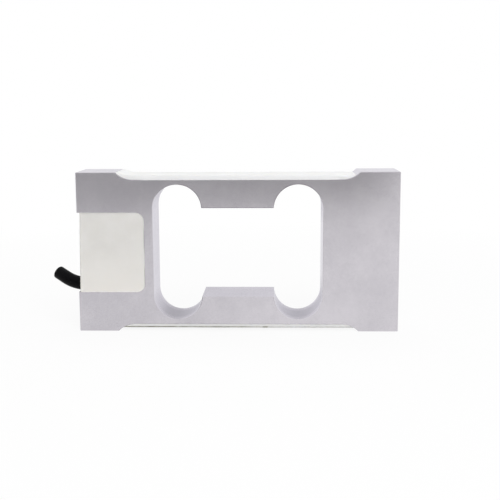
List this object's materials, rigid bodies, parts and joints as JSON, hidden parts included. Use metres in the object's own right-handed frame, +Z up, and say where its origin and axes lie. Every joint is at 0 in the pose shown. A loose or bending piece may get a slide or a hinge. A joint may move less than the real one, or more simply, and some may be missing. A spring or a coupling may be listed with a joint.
{
  "type": "parallel-beam load cell",
  "caption": "Aluminium block load cell with a lobed through-window, silicone over its gauge recesses, a potted wiring pocket and a short cut cable at one end.",
  "frame": {"origin": "middle of the beam's footprint, on the plane of the bottom pads", "axes": "+X along the beam to the live end, -Y the face with the wiring pocket, +Z up from the bottom pads"},
  "size_m": [0.1634, 0.024, 0.075],
  "materials": {
    "beam_aluminium": "satin, finely machined",
    "potting_silicone": "cream, satin, cast in place",
    "seal_silicone": "white, satin, spread by hand",
    "gauge_backing": "amber film",
    "gauge_foil": "etched foil",
    "lead_insulation": "thin enamel",
    "solder": "bright solder",
    "board_laminate": "green board",
    "board_adhesive": "foam tape",
    "resistor_body": "dark glazed chip",
    "cable_jacket": "black, satin",
    "cable_braid": "tinned braid",
    "copper_strand": "bare strands",
    "core_insulation_red": "smooth insulation",
    "core_insulation_black": "smooth insulation",
    "core_insulation_green": "smooth insulation",
    "core_insulation_white": "smooth insulation"
  },
  "bodies": {
    "root": {"beam_body": "beam_aluminium", "board_pad": "board_adhesive", "board_solder": "solder", "bottom_gauge_leads": "lead_insulation", "bottom_gauge_seal": "seal_silicone", "cable_jacket": "cable_jacket", "cable_shield": "cable_braid", "core_black": "core_insulation_black", "core_conductors": "copper_strand", "core_green": "core_insulation_green", "core_red": "core_insulation_red", "core_white": "core_insulation_white", "end_potting": "potting_silicone", "gauge_backing_bottom_fixed": "gauge_backing", "gauge_backing_bottom_live": "gauge_backing", "gauge_backing_top_fixed": "gauge_backing", "gauge_backing_top_live": "gauge_backing", "gauge_grid_bottom_fixed": "gauge_foil", "gauge_grid_bottom_live": "gauge_foil", "gauge_grid_top_fixed": "gauge_foil", "gauge_grid_top_live": "gauge_foil", "gauge_solder": "solder", "span_resistors": "resistor_body", "top_gauge_leads": "lead_insulation", "top_gauge_seal": "seal_silicone", "trim_board": "board_laminate", "zero_resistors": "resistor_body"}
  },
  "joints": []
}
